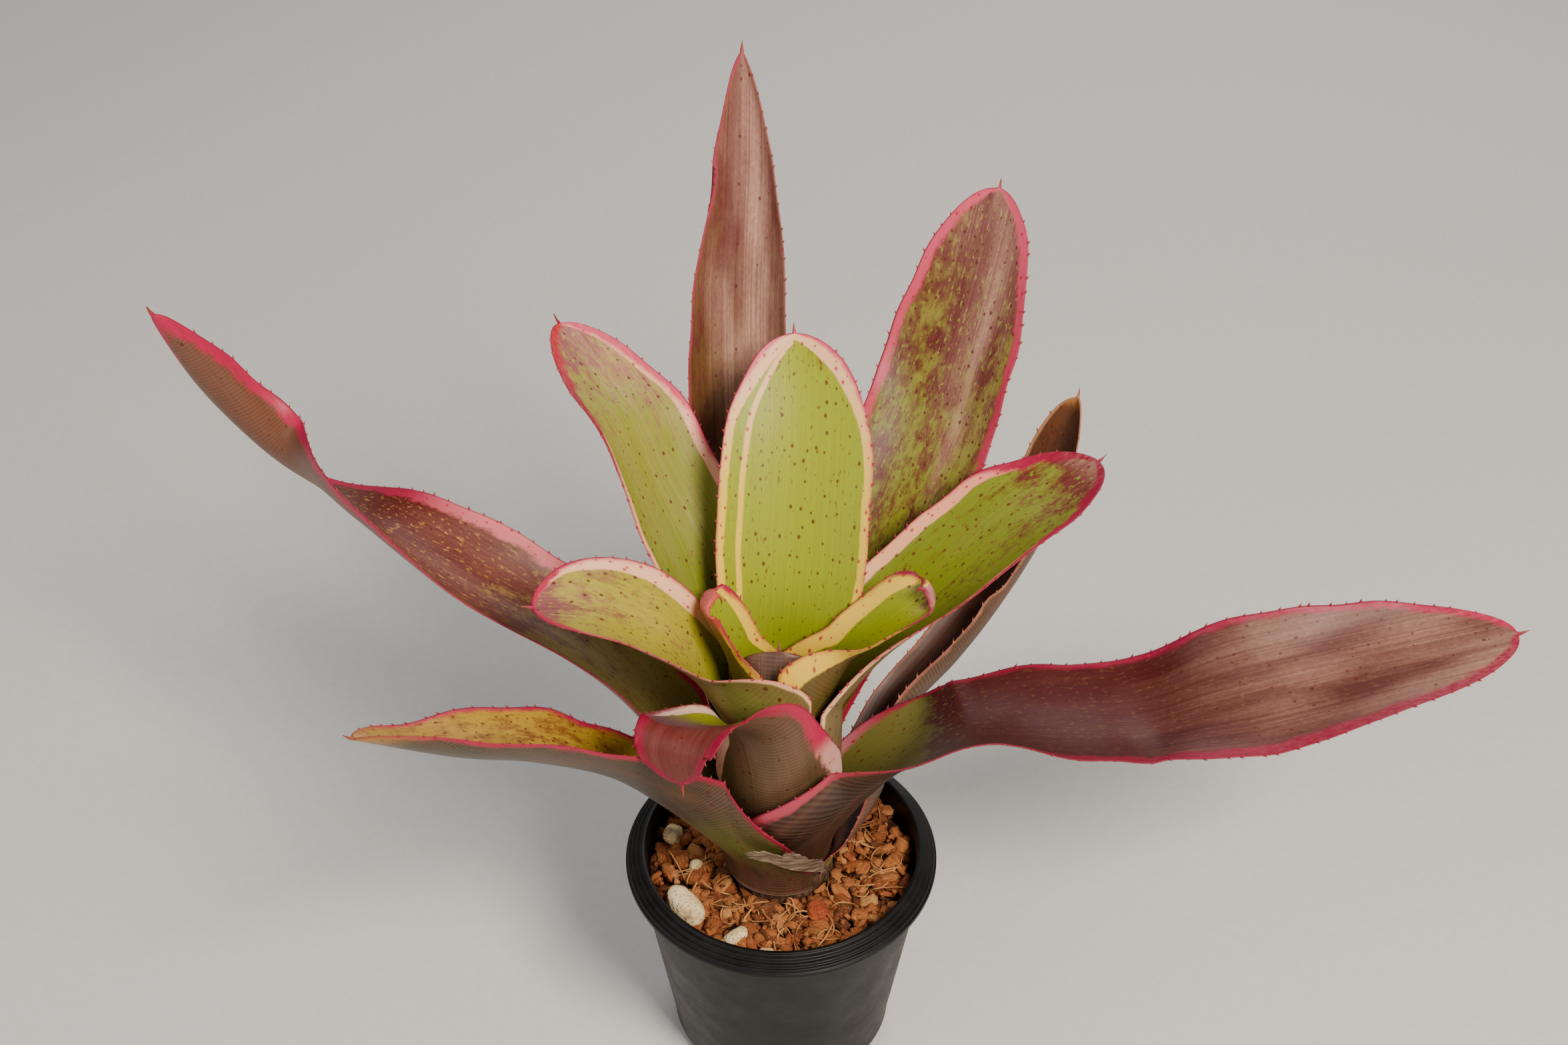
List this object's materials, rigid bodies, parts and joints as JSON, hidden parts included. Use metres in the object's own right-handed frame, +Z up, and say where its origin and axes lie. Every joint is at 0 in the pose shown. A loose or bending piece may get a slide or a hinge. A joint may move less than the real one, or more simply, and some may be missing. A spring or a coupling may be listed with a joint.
{
  "type": "potted neoregelia bromeliad",
  "caption": "Neoregelia bromeliad in a round nursery pot: a loose rosette of spiny-edged strap leaves on a nested tube of sheaths, in a bed of husk chips with a few stones.",
  "frame": {"origin": "centre of the pot's foot, on the surface that the pot stands on", "axes": "+Z up along the plant's stem; +X to the right, along the rosette's longest reach; -Y is the front"},
  "size_m": [0.4223, 0.1867, 0.2986],
  "materials": {
    "leaf": "satin, waxy, mottled green and maroon with pink spiny margins",
    "leaf_dark": "satin, waxy, maroon-brown with crimson spiny margins",
    "stem": "dull, brown, with fibrous remains of old leaves",
    "dry_scale": "matt, papery and dry",
    "husk": "rough, fibrous coconut husk chips",
    "pumice": "rough, porous, cream and grey stone",
    "fired_clay": "rough, reddish brown granule",
    "pot": "matt, moulded polypropylene"
  },
  "bodies": {
    "root": {"pot": "pot", "husk_bed": "husk", "stone_large": "pumice", "stone_left": "pumice", "stone_small": "pumice", "stone_front": "pumice", "stone_rim": "pumice", "chunk_red": "fired_clay", "stem": "stem", "dry_scale": "dry_scale", "leaf_heart": "leaf", "leaf_inner_left": "leaf", "leaf_inner_right": "leaf", "leaf_centre": "leaf", "leaf_left_short": "leaf", "leaf_right_mid": "leaf", "leaf_upper_left": "leaf", "leaf_front_folded": "leaf", "leaf_upper_right": "leaf", "leaf_back_tall": "leaf_dark", "leaf_left_long": "leaf_dark", "leaf_right_long": "leaf_dark", "leaf_right_back": "leaf_dark", "leaf_left_low": "leaf_dark"}
  },
  "joints": []
}
